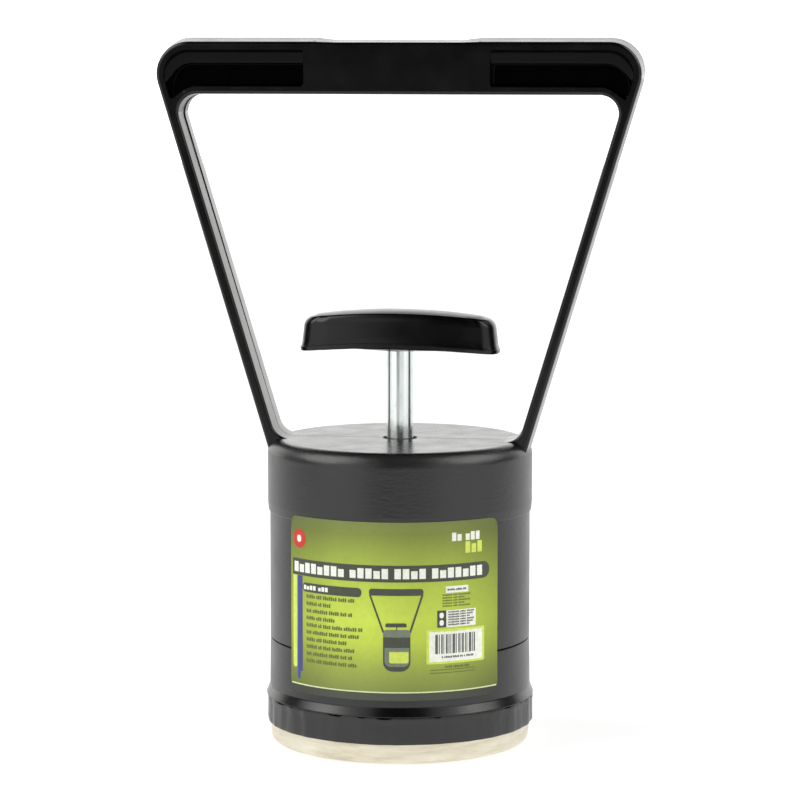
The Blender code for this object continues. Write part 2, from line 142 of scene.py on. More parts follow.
# Rod and pull handle
ROD_RADIUS = 3.2
ROD_TOP_Z = 97.2
ROD_BOTTOM_Z = 1.4
PULL_HALF_LENGTH = 23.3
PULL_HALF_DEPTH = 7.0
PULL_BOW = 0.24                # share of the T's half depth that is lost towards its ends
PULL_END_RADIUS = 4.4
PULL_CROWN_Z = 100.65
PULL_TOP_DROP = 1.95
PULL_BOTTOM_Z = 92.05
PULL_BOTTOM_DROP = 1.4
PULL_SHOULDER_SINK = 0.35      # how much flatter the upper edges' arch is than the crown's
PULL_LIP = 1.25                # height of the lip round the T's lower edge
PULL_CROWN = 2.6               # height of its rounded upper edge
PULL_POCKET_TOP_Z = 98.0
PULL_POCKET_FOOT_Z = 92.3
INSERT_RADIUS = 4.75
CLIP_GROOVE = 0.7              # depth
ROD_CHAMFER = 0.6

# Spring
WIRE_RADIUS = 0.7
COIL_RADIUS = 8.4
COIL_TURNS = 8
PULL_TURN = math.radians(-3.4)  # the T stands a little round from the carrying handle

# Camera
VIEW_TURN = math.radians(8.0)  # the camera stands this far round from the front, towards +X
VIEW_DISTANCE = 747.5
VIEW_HEIGHT = 167.1
VIEW_DOWN = math.radians(6.69)
LENS = 146.0
SENSOR = 36.0


# -------------------- meshes

def add_piece(name, bm, materials, sharp_angle=40.0):
    """Turn a bmesh drawn in millimetres into an object in metres."""
    bmesh.ops.scale(bm, vec=(MM, MM, MM), verts=bm.verts)
    bmesh.ops.recalc_face_normals(bm, faces=bm.faces)
    mesh = bpy.data.meshes.new(name)
    bm.to_mesh(mesh)
    bm.free()
    for mat in materials:
        mesh.materials.append(mat)
    mesh.shade_smooth()
    mesh.set_sharp_from_angle(angle=math.radians(sharp_angle))
    piece = bpy.data.objects.new(name, mesh)
    bpy.context.scene.collection.objects.link(piece)
    return piece


def fit(piece, body, slot, *nodes):
    """Tie a finished piece to its CAD body and hide the CAD nodes it stands for; slot, its finish
    slot, is not used.
    """
    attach(piece, body)
    if nodes:
        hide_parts(*nodes)


def even_shading(piece):
    """Keep flat faces flat where they run into rounded edges."""
    mod = piece.modifiers.new("even_shading", "WEIGHTED_NORMAL")
    mod.keep_sharp = True
    mod.weight = 100
    return piece


def arc(centre, radius, start_deg, end_deg, steps):
    """Points of an arc in a plane, both ends included."""
    points = []
    for i in range(steps + 1):
        angle = math.radians(start_deg + (end_deg - start_deg) * i / steps)
        points.append((centre[0] + radius * math.cos(angle), centre[1] + radius * math.sin(angle)))
    return points


def rounded(corners, steps=12):
    """Outline through (x, z, radius) corners, each with a radius turned into an arc."""
    outline = []
    count = len(corners)
    for i, (x, z, radius) in enumerate(corners):
        here = Vector((x, z))
        if radius <= 0:
            outline.append((x, z))
            continue
        before = (Vector(corners[i - 1][:2]) - here).normalized()
        after = (Vector(corners[(i + 1) % count][:2]) - here).normalized()
        half = before.angle(after) / 2
        centre = here + (before + after).normalized() * (radius / math.sin(half))
        first = here + before * (radius / math.tan(half)) - centre
        last = here + after * (radius / math.tan(half)) - centre
        start = math.atan2(first.y, first.x)
        sweep = math.atan2(last.y, last.x) - start
        sweep = (sweep + math.pi) % (2 * math.pi) - math.pi
        outline += arc(centre, radius, math.degrees(start), math.degrees(start + sweep), steps)
    return outline


def turned_mesh(profile, segments):
    """Solid of revolution about Z of a closed (radius, z) profile, as a bmesh."""
    bm = bmesh.new()
    rings = []
    for radius, z in profile:
        if radius <= 0:
            rings.append([bm.verts.new((0, 0, z))])
            continue
        rings.append([bm.verts.new((radius * math.cos(2 * math.pi * i / segments),
                                    radius * math.sin(2 * math.pi * i / segments), z))
                      for i in range(segments)])
    for lower, upper in zip(rings, rings[1:] + rings[:1]):
        for i in range(segments):
            corners = [lower[i - 1 if len(lower) > 1 else 0], lower[i if len(lower) > 1 else 0],
                       upper[i if len(upper) > 1 else 0], upper[i - 1 if len(upper) > 1 else 0]]
            corners = list(dict.fromkeys(corners))
            if len(corners) > 2:
                bm.faces.new(corners)
    return bm


def lofted_mesh(levels):
    """Closed solid through outlines of equal length, each a list of 3-D points, as a bmesh."""
    bm = bmesh.new()
    rings = [[bm.verts.new(p) for p in level] for level in levels]
    for lower, upper in zip(rings, rings[1:]):
        for i in range(len(lower)):
            bm.faces.new((lower[i - 1], lower[i], upper[i], upper[i - 1]))
    bm.faces.new(rings[0])
    bm.faces.new(rings[-1])
    return bm


def upright(outline, y):
    """Place an (x, z) outline at depth y."""
    return [(x, y, z) for x, z in outline]


# -------------------- carrying handle and housing

def lean(x, z):
    """x at height z of a line that leans outward like the handle's arms."""
    return x + (z - DECK_Z) * math.tan(ARM_LEAN)


def handle_outline(inset, fall=0.0):
    """Outline in XZ of arms and bar, drawn smaller by inset all round.

    fall runs from 0 at the ridge of the bar's top to 1 at its faces.
    """
    across = 1 / math.cos(ARM_LEAN)
    outer_x = ARM_OUTER_AT_DECK - inset * across
    inner_x = ARM_OUTER_AT_DECK - (ARM_THICKNESS - inset) * across
    top = BAR_TOP_Z - inset - BAR_CROWN * fall
    saddle = BAR_SADDLE * (1 - 0.8 * fall)
    under = BAR_TOP_Z - BAR_HEIGHT + inset
    root = DECK_Z - ROOT_DEPTH
    wall_foot = DECK_Z - WALL_FOOT_DEPTH
    toe_x = lean(inner_x, DECK_Z) - 0.75 * FOOT_FILLET
    wall_x = BODY_RADIUS - WALL + 0.2
    right = [(lean(outer_x, wall_foot), wall_foot, 0),
             (lean(outer_x, top), top, CORNER_OUT - inset), (SADDLE_X[1], top, SADDLE_BEND),
             (SADDLE_X[0], top - saddle, SADDLE_BEND)]
    left = [(-x, z, r) for x, z, r in reversed(right)]
    window = [(-wall_x, wall_foot, 0), (-wall_x, root, 0), (-toe_x, root, 0), (-toe_x, DECK_Z, 0),
              (-lean(inner_x, DECK_Z), DECK_Z, FOOT_FILLET),
              (-lean(inner_x, under), under, CORNER_IN + inset)]
    window += [(-x, z, r) for x, z, r in reversed(window)]
    return rounded(right + left + window)


def handle_levels():
    """Outlines from the front face to the back: rounded edges and sides drafted to the middle."""
    half = HANDLE_DEPTH / 2
    steps = 6
    front = []
    for i in range(steps + 1):
        angle = math.pi / 2 * i / steps
        depth = half - FACE_ROUND * (1 - math.cos(angle))
        inset = HANDLE_DRAFT * depth / half + FACE_ROUND * (1 - math.sin(angle))
        front.append(upright(handle_outline(inset, depth / half), -depth))
    back = [[(x, -y, z) for x, y, z in level] for level in reversed(front)]
    return front + [upright(handle_outline(0.0), 0.0)] + back


def parting_flash(plastic):
    """The mould's parting line round the inside of the handle and across the deck."""
    inner_x = ARM_OUTER_AT_DECK - ARM_THICKNESS / math.cos(ARM_LEAN)
    under = BAR_TOP_Z - BAR_HEIGHT
    half = [(DECK_HOLE_RADIUS + 0.5, DECK_Z, 0), (lean(inner_x, DECK_Z), DECK_Z, FOOT_FILLET),
            (lean(inner_x, under), under, CORNER_IN)]
    path = [Vector(p) for p in rounded(half + [(-x, z, r) for x, z, r in reversed(half)])]
    levels = []
    for i, here in enumerate(path):
        tangent = (path[min(i + 1, len(path) - 1)] - path[max(i - 1, 0)]).normalized()
        inward = Vector((-tangent.y, tangent.x))
        tall = min(max((here.y - FLASH_FOOT_Z) / 0.8, 0.0), 1.0) * abs(tangent.y)
        top = here + inward * (FLASH_REST + (FLASH_HEIGHT - FLASH_REST) * tall)
        root = here - inward * 0.1
        width = FLASH_WIDTH / 2
        levels.append([(root.x, -width, root.y), (top.x, -width * 0.7, top.y),
                       (top.x, width * 0.7, top.y), (root.x, width, root.y)])
    flash = add_piece("parting_flash", lofted_mesh(levels), [plastic])
    fit(flash, "canister", "housing_black")


def recess_outline(side, inset, drop=0.0):
    """Outline in XZ of a coring recess, drawn smaller by inset all round and by drop on top."""
    across = 1 / math.cos(ARM_LEAN)
    outer_x = ARM_OUTER_AT_DECK - (RECESS_RIM + inset) * across
    top = BAR_TOP_Z - RECESS_TOP_RIM - inset - drop
    under = BAR_TOP_Z - BAR_HEIGHT + RECESS_RIM + inset
    tip = under - RECESS_TIP_DROP
    inner = RECESS_INNER_X + inset
    toe = lean(outer_x, tip) - RECESS_TIP_WIDTH + inset / 2
    corners = [(inner, top, 0.6), (lean(outer_x, top), top, CORNER_OUT - RECESS_RIM - inset),
               (lean(outer_x, tip), tip, 0.7), (toe, under, 6.0 + inset), (inner, under, 0.6)]
    return [(side * x, z) for x, z in rounded(corners, 10)]


def recess_cutter(side, face):
    """Recess with an eased mouth, a top side that slopes in, and a rounded floor.

    side is the bar's end, face is -1 or +1.
    """
    half = HANDLE_DEPTH / 2
    rim = RECESS_MOUTH_ROUND
    levels = [upright(recess_outline(side, -rim), face * (half + 1))]
    for i in range(4):
        angle = math.pi / 2 * i / 3
        levels.append(upright(recess_outline(side, -rim * (1 - math.sin(angle))),
                              face * (half - rim * (1 - math.cos(angle)))))
    bend = RECESS_SLOPE / math.sin(RECESS_SLOPE_END)
    for i in range(1, 9):
        angle = RECESS_SLOPE_END * i / 8
        levels.append(upright(recess_outline(side, 0.01 * i, bend * math.sin(angle)),
                              face * (half - rim - bend * (1 - math.cos(angle)))))
    wall = RECESS_DEPTH - RECESS_FLOOR_ROUND - rim
    for i in range(5):
        angle = math.pi / 2 * i / 4
        inset = 0.2 + RECESS_FLOOR_ROUND * (1 - math.cos(angle))
        depth = half - rim - wall - RECESS_FLOOR_ROUND * math.sin(angle)
        levels.append(upright(recess_outline(side, inset, RECESS_SLOPE), face * depth))
    return lofted_mesh(levels)


def cut_solid(piece, tools):
    """Apply Boolean operations in turn, then remove the tools and keep the finished mesh."""
    for tool, operation in tools:
        mod = piece.modifiers.new(tool.name, "BOOLEAN")
        mod.operation = operation
        mod.solver = "EXACT"
        mod.material_mode = "TRANSFER"
        mod.object = tool
    graph = bpy.context.evaluated_depsgraph_get()
    finished = bpy.data.meshes.new_from_object(piece.evaluated_get(graph))
    piece.modifiers.clear()
    piece.data = finished
    for tool, _ in tools:
        bpy.data.objects.remove(tool)
    finished.shade_smooth()
    finished.set_sharp_from_angle(angle=math.radians(32.0))


def housing_profile():
    """(radius, z) profile of collar, deck, wall and boss."""
    play = 0.3                 # room round the sleeve's spigot and the bush
    inner = BODY_RADIUS - WALL
    ceiling = DECK_Z - DECK_THICKNESS
    seam = SEAM_Z + SEAM_GAP / 2
    lap_top = SEAM_Z + LAP + play
    lap_radius = SLEEVE_SPIGOT_RADIUS + play
    bore = BUSH_RADIUS + play
    profile = [(DECK_HOLE_RADIUS, DECK_Z - 0.25), (DECK_HOLE_RADIUS + 0.25, DECK_Z)]
    profile += arc((COLLAR_RADIUS - DECK_EDGE_RADIUS, DECK_Z - DECK_EDGE_RADIUS),
                   DECK_EDGE_RADIUS, 90, 0, 16)
    taper_foot = COLLAR_Z - COLLAR_TAPER
    profile += rounded([(COLLAR_RADIUS, COLLAR_Z + 1.0, 0),
                        (COLLAR_RADIUS, COLLAR_Z, COLLAR_EDGE_ROUND),
                        (BODY_RADIUS + COLLAR_LEDGE, taper_foot + COLLAR_LEDGE, 0.1),
                        (BODY_RADIUS, taper_foot, 0.1), (BODY_RADIUS, taper_foot - 1.0, 0)], 6)
    profile += [(BODY_RADIUS, seam + SEAM_BREAK), (BODY_RADIUS - SEAM_BREAK, seam),
                (lap_radius, seam), (lap_radius, lap_top), (inner, lap_top), (inner, ceiling),
                (BOSS_RADIUS, ceiling), (BOSS_RADIUS, BOSS_Z),
                (bore, BOSS_Z), (bore, ceiling + 2 * play), (DECK_HOLE_RADIUS, ceiling + 2 * play)]
    return profile


def repaint(piece, index, chosen):
    """Give another of the piece's materials to faces chosen by their centre's radius and z."""
    for face in piece.data.polygons:
        x, y, z = face.center / MM
        if chosen(math.hypot(x, y), z):
            face.material_index = index


def housing_shell(plastic, handle_plastic, recess_shaded_plastic, deck_plastic):
    """Collar, deck, arms and bar as one moulding."""
    shell = add_piece("housing_shell", turned_mesh(housing_profile(), 192), [plastic, deck_plastic])
    deck_radius = COLLAR_RADIUS - DECK_EDGE_RADIUS
    repaint(shell, 1, lambda r, z: z > DECK_Z - 0.4 and r < deck_radius + 1.6)
    handle = add_piece("handle_tool", lofted_mesh(handle_levels()), [handle_plastic])
    tools = [(handle, "UNION")]
    for side in (-1, 1):
        for face in (-1, 1):
            recess = add_piece("recess_tool", recess_cutter(side, face), [recess_shaded_plastic])
            tools.append((recess, "DIFFERENCE"))
    cut_solid(shell, tools)
    fit(even_shading(shell), "canister", "housing_black", "handle_housing")


def sleeve_shell(plastic, bead_plastic):
    """Short sleeve between the seam and the band, with its flared bead."""
    seam = SEAM_Z - SEAM_GAP / 2
    spigot = CUP_RADIUS - CUP_WALL - 0.4
    flare_top = FLARE_Z + FLARE_HEIGHT
    profile = [(SLEEVE_SPIGOT_RADIUS, seam + LAP), (SLEEVE_SPIGOT_RADIUS, seam),
               (BODY_RADIUS - SEAM_BREAK, seam), (BODY_RADIUS, seam - SEAM_BREAK)]
    profile += rounded([(BODY_RADIUS, seam - 0.2, 0),
                        (BODY_RADIUS + SLEEVE_DRAFT, flare_top - 0.05, 1.2),
                        (FLARE_RADIUS - 0.05, FLARE_Z + 0.3, 0.35),
                        (FLARE_RADIUS - 0.05, FLARE_Z + 0.1, 0.05),
                        (spigot, FLARE_Z + 0.1, 0)], 8)[1:]
    profile += [(spigot, SLEEVE_FOOT_Z), (SLEEVE_BORE_RADIUS, SLEEVE_FOOT_Z),
                (SLEEVE_BORE_RADIUS, seam + LAP)]
    shell = add_piece("sleeve_shell", turned_mesh(profile, 192), [plastic, bead_plastic])
    repaint(shell, 1, lambda r, z: r > SLEEVE_SPIGOT_RADIUS and z < flare_top)
    fit(even_shading(shell), "canister", "housing_black", "lower_sleeve")


# -------------------- base cup and band

def cup_shell(steel):
    """Drawn stainless cup that closes the canister."""
    rim = FLARE_Z - 1.1
    inner = CUP_RADIUS - CUP_WALL
    corner = (CUP_RADIUS - CUP_CORNER, CUP_CORNER)
    profile = [(0, CUP_WALL)]
    profile += arc(corner, CUP_CORNER - CUP_WALL, -90, 0, 6)
    profile += rounded([(inner, rim - 1, 0), (inner, rim, 0.3), (CUP_RADIUS, rim, 0.3),
                        (CUP_RADIUS, rim - 1, 0)], 4)
    profile += arc(corner, CUP_CORNER, 0, -90, 12)
    profile += [(0, 0)]
    shell = add_piece("cup_shell", turned_mesh(profile, 192), [steel])
    fit(even_shading(shell), "canister", "stainless", "base_cup")


def band_radius(z):
    """Outer radius of the band: straight below, swelling to lap the sleeve's bead."""
    swell = min(max((z - BAND_SWELL_Z) / BAND_SWELL_HEIGHT, 0.0), 1.0)
    return BAND_RADIUS + BAND_SWELL * swell * swell * (3 - 2 * swell)


def band_wrap(vinyl):
    """Stretched band with upright creases, small wrinkles and an uneven upper edge."""
    segments = 480
    rows = 14
    bm = bmesh.new()
    columns = []
    for i in range(segments):
        around = 2 * math.pi * i / segments
        c = math.cos(around)
        s = math.sin(around)
        torn = max(0.0, noise.noise(Vector((c * 9, s * 9, 0.3))) - 0.08) * 0.8
        torn += max(0.0, noise.noise(Vector((c * 40, s * 40, 1.7))) - 0.2) * 0.35
        edge = BAND_TOP_Z - min(torn, BAND_TEAR)
        column = []
        for k in range(rows + 1):
            z = BAND_Z + (edge - BAND_Z) * k / rows
            crease = noise.noise(Vector((c * 11, s * 11, z * 0.03)))
            pucker = noise.noise(Vector((c * 26, s * 26, z * 0.5 + 5)))
            r = band_radius(z) + 0.24 * crease + 0.05 * pucker * (0.3 + k / rows)
            ease = 0.12 if k in (0, rows) else 0.0
            r = min(r, FLARE_RADIUS - 0.04) - ease
            column.append(bm.verts.new((r * c, r * s, z)))
        hidden = CUP_RADIUS + SKIN
        column.append(bm.verts.new((hidden * c, hidden * s, edge)))
        column.append(bm.verts.new((hidden * c, hidden * s, BAND_Z)))
        columns.append(column)
    for i in range(segments):
        a = columns[i - 1]
        b = columns[i]
        for k in range(len(a)):
            bm.faces.new((a[k - 1], b[k - 1], b[k], a[k]))
    wrap = add_piece("band_wrap", bm, [vinyl], 60.0)
    fit(wrap, "canister", "band_vinyl", "seal_band")


# -------------------- label

def skin_radius(z):
    """Radius of the housing behind the label, which laps onto the collar's taper."""
    over = max(z - (COLLAR_Z - COLLAR_TAPER), 0.0)
    rise = max(over - COLLAR_LEDGE, 0.0) / (COLLAR_TAPER - COLLAR_LEDGE)
    below = (SEAM_Z - z) / (SEAM_Z - FLARE_Z - FLARE_HEIGHT)
    return (BODY_RADIUS + min(over, COLLAR_LEDGE)
            + (COLLAR_RADIUS - BODY_RADIUS - COLLAR_LEDGE) * min(rise, 1.0)
            + SLEEVE_DRAFT * min(max(below, 0.0), 1.0))


def along(degrees):
    """Length round the housing, from the picture's centre line, of an angle."""
    return math.radians(degrees) * BODY_RADIUS


def slices(outline):
    """Vertical slices (across, low, high) of a convex outline."""
    xs = {round(x, 3) for x, _ in outline}
    left = min(xs)
    right = max(xs)
    count = max(1, round(right - left))
    xs |= {round(left + (right - left) * i / count, 3) for i in range(count)}
    edges = list(zip(outline, outline[1:] + outline[:1]))
    cuts = []
    for x in sorted(xs):
        heights = []
        for (x0, z0), (x1, z1) in edges:
            if min(x0, x1) - 0.001 <= x <= max(x0, x1) + 0.001:
                if abs(x1 - x0) < 0.002:
                    heights += [z0, z1]
                else:
                    heights.append(z0 + (z1 - z0) * min(max((x - x0) / (x1 - x0), 0), 1))
        cuts.append((x, min(heights) - 0.004, max(heights) + 0.004))
    return cuts


def wrap_patch(bm, outline, lift, thickness, rows=1):
    """Add a thin closed patch, given by its flat outline, that lies round the housing."""
    layers = [[], []]
    for across, low, high in slices(outline):
        around = across / BODY_RADIUS + VIEW_TURN
        for layer, offset in zip(layers, (lift, lift + thickness)):
            column = []
            for i in range(rows + 1):
                z = low + (high - low) * i / rows
                r = skin_radius(z) + offset
                column.append(bm.verts.new((r * math.sin(around), -r * math.cos(around), z)))
            layer.append(column)
    back, front = layers
    for a in range(len(front) - 1):
        for i in range(rows):
            bm.faces.new((front[a][i], front[a + 1][i], front[a + 1][i + 1], front[a][i + 1]))
            bm.faces.new((back[a][i + 1], back[a + 1][i + 1], back[a + 1][i], back[a][i]))
        bm.faces.new((back[a][0], back[a + 1][0], front[a + 1][0], front[a][0]))
        bm.faces.new((front[a][-1], front[a + 1][-1], back[a + 1][-1], back[a][-1]))
    for i in range(rows):
        bm.faces.new((back[0][i], front[0][i], front[0][i + 1], back[0][i + 1]))
        bm.faces.new((front[-1][i], back[-1][i], back[-1][i + 1], front[-1][i + 1]))


def block(start, end, low, high, left=0.0, right=0.0, bottom=None, top=None):
    """Flat outline of a printed block: angles in degrees, heights and corner radii in mm.

    left and right round the corners of that end; bottom or top, where given, replace them.
    """
    radii = [left if bottom is None else bottom, right if bottom is None else bottom,
             right if top is None else top, left if top is None else top]
    corners = [(along(start), low), (along(end), low), (along(end), high), (along(start), high)]
    return rounded([(x, z, r) for (x, z), r in zip(corners, radii)], 5)


def slanted(start, end, width):
    """Flat outline of a thin stroke between two (degrees, z) points, start above end."""
    (s0, z0), (s1, z1) = start, end
    half = width / 2
    return [(along(s0) - half, z0), (along(s1) - half, z1), (along(s1) + half, z1),
            (along(s0) + half, z0)]


def words(start, end, low, high, letter, pattern):
    """Outlines of small blocks that stand for a line of print: runs of equal blocks with gaps."""
    outlines = []
    pitch = letter * 1.28
    place = along(start)
    stop = along(end)
    turn = 0
    while place + letter <= stop + 0.01:
        run = pattern[turn % len(pattern)]
        for k in range(run):
            if place + letter > stop + 0.01:
                break
            tall = high if (turn + k) % 3 != 1 else low + (high - low) * 0.78
            outlines.append([(place, low), (place + letter, low), (place + letter, tall),
                             (place, tall)])
            place += pitch
        place += pitch * 0.55
        turn += 1
    return outlines


def printed(name, mat, outlines, layer=0):
    """One ink of the label: closed patches of its outlines, a layer above the film."""
    bm = bmesh.new()
    for outline in outlines:
        wrap_patch(bm, outline, SKIN + FILM + 0.01 + layer * (INK + 0.01), INK)
    fit(add_piece(name, bm, [mat], 50.0), "canister", "label_print")


def label_film(mat):
    """Label film with round corners."""
    bm = bmesh.new()
    outline = block(LABEL_START, LABEL_END, *LABEL_Z, LABEL_CORNER, LABEL_CORNER)
    wrap_patch(bm, outline, SKIN, FILM, 48)
    fit(add_piece("label_film", bm, [mat], 50.0), "canister", "label_print", "label")


def feature_lines():
    """Ten short lines of small print beside the drawing."""
    ends = (-18.9, -31.0, -20.7, -28.7, -15.3, -17.2, -22.2, -19.6, -20.0, -18.2)
    outlines = []
    for i, end in enumerate(ends):
        top = 37.7 - 1.64 * i
        pattern = [(5, 3, 7, 4), (6, 2, 4, 5), (3, 8, 5)][i % 3]
        outlines += words(-44.3, end, top - 0.85, top, 0.42, pattern)
    return outlines


def drawing():
    """Small drawing of the tool itself."""
    return [block(-13.3, 10.0, 38.75, 40.3, 0.7, 0.7),
            slanted((-12.9, 38.95), (-7.0, 30.3), 0.45),
            slanted((9.6, 38.95), (4.2, 30.3), 0.45),
            block(-6.2, 2.8, 31.6, 32.5, bottom=0.1, top=0.38),
            slanted((-1.3, 31.7), (-1.6, 30.2), 0.22),
            block(-7.2, 4.4, 21.5, 29.9, bottom=2.1, top=0.0)]


def drawn_shades():
    """Lighter sides and shoulder of the drawn canister."""
    return [block(-7.2, 4.4, 29.3, 31.0, bottom=0.0, top=0.75),
            block(-6.6, 4.0, 22.6, 26.9, bottom=1.3, top=0.0)]


def code_bars():
    """Uneven upright bars of the code box, thickest at the left."""
    bars = []
    place = along(15.1)
    widths = (0.62, 0.2, 0.34, 0.16, 0.42, 0.22, 0.18)
    gaps = (0.24, 0.34, 0.18, 0.42, 0.22)
    for i in range(17):
        width = widths[i % len(widths)]
        bars.append([(place, 25.3), (place + width, 25.3), (place + width, 29.7), (place, 29.7)])
        place += width + gaps[i % len(gaps)]
    return bars


def label_prints(inks):
    """Everything printed on the label, with blocks in place of lettering."""
    small = feature_lines()
    small += words(19.5, 31.0, 22.0, 22.5, 0.34, (4, 6, 3))
    small += [block(13.0, 34.0, 21.55, 21.72), block(13.0, 34.0, 20.85, 21.02)]
    for i in range(5):
        high = 38.8 - 0.62 * i
        small += words(18.4, 31.5 - (i % 2) * 2.5, high - 0.34, high, 0.3, (6, 3, 8))
    printed("print_small", inks["small"], small)
    dark = [block(-53.3, 41.7, 41.8, 45.6, 0.0, 1.8), block(-46.6, -16.6, 38.2, 40.3, 0.9, 0.9),
            block(16.0, 20.0, 31.3, 35.15)]
    printed("print_dark", inks["dark"], dark + drawing())
    white = [block(19.8, 30.4, 39.1, 40.6), block(20.1, 34.3, 31.3, 35.15)]
    white += words(22.6, 38.7, 50.8, 52.7, 1.05, (2, 4))
    printed("print_white", inks["white"], white)
    yellow = words(29.0, 38.7, 47.9, 50.5, 1.25, (3,))
    yellow += [block(-53.0, -50.3, 20.4, 41.7, top=0.0, bottom=0.65),
               block(11.3, 38.9, 23.0, 30.85, 0.4, 0.4)]
    printed("print_yellow", inks["yellow"], yellow)
    printed("print_line", inks["line"], [block(-54.0, 46.0, 16.55, 16.83)])
    printed("print_blue", inks["blue"], [block(-49.9, -48.2, 17.9, 41.7, top=0.0, bottom=0.4)])
    printed("print_violet", inks["violet"], [block(-48.1, -46.8, 19.6, 41.7, top=0.0, bottom=0.3)])
    printed("print_red", inks["red"], [block(-53.0, -44.6, 48.0, 52.4, 2.15, 2.15)])
    over_white = words(-52.0, 40.4, 42.55, 44.85, 1.45, (8, 5, 4, 7))
    over_white += words(-45.8, -31.8, 38.75, 39.75, 0.75, (4, 5))
    over_white += [block(-50.1, -47.5, 49.4, 51.0, 0.55, 0.55),
                   block(17.0, 18.9, 31.7, 33.0, 0.5, 0.5), block(17.0, 18.9, 33.4, 34.7, 0.5, 0.5),
                   block(12.5, 37.7, 23.5, 30.35, 0.1, 0.1)]
    printed("print_over", inks["white"], over_white, 1)
    printed("print_grey", inks["grey"], drawn_shades(), 1)
    printed("print_lime", inks["yellow"], [block(-4.6, 3.6, 23.4, 26.0, bottom=0.5, top=0.1)], 2)
    lines = words(18.0, 33.0, 24.3, 24.75, 0.3, (1, 5, 4, 2))
    for i in range(6):
        high = 34.9 - 0.58 * i
        lines += words(21.0, 33.6 - (i % 3), high - 0.3, high, 0.3, (7, 4, 6))
    lines += words(20.6, 29.6, 39.65, 40.05, 0.3, (5, 4))
    printed("print_lines", inks["slate"], lines, 2)
    printed("print_bars", inks["slate"], code_bars(), 2)


# -------------------- pull handle, rod and spring

def pull_level(z, drop, inset, side_inset):
    """Plan of the T at one height: bowed sides, round ends, lower towards its ends."""
    length = PULL_HALF_LENGTH - inset
    depth = max(PULL_HALF_DEPTH - side_inset, 0.05)
    corner = min(PULL_END_RADIUS, depth * (1 - PULL_BOW) * 0.85)
    steps = 28
    side = [(length - corner) * (2 * i / steps - 1) for i in range(1, steps)]
    half = [(x, -depth * (1 - PULL_BOW * (x / length) ** 2)) for x in side]
    offset = depth * (1 - PULL_BOW) - corner
    half += arc((length - corner, -offset), corner, 270, 360, 8)
    half += arc((length - corner, offset), corner, 0, 90, 8)
    plan = half + [(-x, -y) for x, y in half]
    return [(x, y, z - drop * (x / PULL_HALF_LENGTH) ** 2) for x, y in plan]


def pull_mesh():
    """The T, with a lip round the lower edge, leaning sides and a rounded crown.

    Each level is (height above the underside, inset of the ends, inset of the sides, sink).
    """
    span = PULL_CROWN_Z - PULL_BOTTOM_Z
    wall_top = span - PULL_CROWN
    levels = [(0.0, 0.5, 0.06, 0.0), (0.08, 0.2, 0.0, 0.0), (0.25, 0.05, 0.0, 0.0),
              (0.75, 0.0, 0.0, 0.0), (1.0, 0.0, 0.0, 0.0), (1.15, 0.02, 0.03, 0.0),
              (PULL_LIP, 0.14, 0.16, 0.0)]
    for i in range(1, 6):
        rise = PULL_LIP + (wall_top - PULL_LIP) * i / 5
        levels.append((rise, 0.16 + rise * 0.11, 0.16 + rise * 0.06, PULL_SHOULDER_SINK * i / 5))
    end_inset = levels[-1][1]
    side_inset = levels[-1][2]
    for i in range(1, 11):
        angle = math.pi / 2 * i / 10
        levels.append((wall_top + PULL_CROWN * math.sin(angle) * 0.9,
                       end_inset + PULL_CROWN * 0.85 * (1 - math.cos(angle)),
                       side_inset + PULL_CROWN * 0.46 * (1 - math.cos(angle)),
                       PULL_SHOULDER_SINK))
    rise, end_inset, side_inset, _ = levels[-1]
    for i in range(1, 9):
        share = i / 8
        levels.append((rise + (span - rise) * (1 - (1 - share) ** 2), end_inset + 1.6 * share,
                       side_inset + (PULL_HALF_DEPTH - side_inset - 0.05) * share,
                       PULL_SHOULDER_SINK * (1 - share) ** 2))
    plans = []
    for rise, inset, side, sink in levels:
        drop = PULL_BOTTOM_DROP + (PULL_TOP_DROP - PULL_BOTTOM_DROP) * rise / span
        plans.append(pull_level(PULL_BOTTOM_Z + rise - sink, drop - sink, inset, side))
    return lofted_mesh(plans)


def pull_grip(plastic):
    """Moulded T with a pocket for the threaded insert and the rod."""
    grip = add_piece("pull_grip", pull_mesh(), [plastic])
    bore = ROD_RADIUS + 0.15
    below = PULL_BOTTOM_Z - 3.0
    pocket = [(0, PULL_POCKET_TOP_Z), (INSERT_RADIUS, PULL_POCKET_TOP_Z),
              (INSERT_RADIUS, PULL_POCKET_FOOT_Z), (bore, PULL_POCKET_FOOT_Z),
              (bore, below), (0, below)]
    tool = add_piece("pocket_tool", turned_mesh(pocket, 48), [plastic])
    cut_solid(grip, [(tool, "DIFFERENCE")])
    grip.data.transform(Matrix.Rotation(PULL_TURN, 4, "Z"))
    fit(even_shading(grip), "pull_group", "handle_black", "pull_handle")


def rod_shaft(zinc):
    """Plated rod with chamfered ends and the groove of its stop clip."""
    clip_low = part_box("stop_clip")[0].z / MM
    clip_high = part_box("stop_clip")[1].z / MM
    groove = ROD_RADIUS - CLIP_GROOVE
    profile = [(0, ROD_TOP_Z), (ROD_RADIUS - ROD_CHAMFER, ROD_TOP_Z),
               (ROD_RADIUS, ROD_TOP_Z - ROD_CHAMFER), (ROD_RADIUS, clip_high + 0.2),
               (groove, clip_high + 0.2), (groove, clip_low - 0.2), (ROD_RADIUS, clip_low - 0.2),
               (ROD_RADIUS, ROD_BOTTOM_Z + ROD_CHAMFER),
               (ROD_RADIUS - ROD_CHAMFER, ROD_BOTTOM_Z), (0, ROD_BOTTOM_Z)]
    shaft = add_piece("rod_shaft", turned_mesh(profile, 96), [zinc])
    fit(even_shading(shaft), "pull_group", "zinc_plate", "pull_rod")


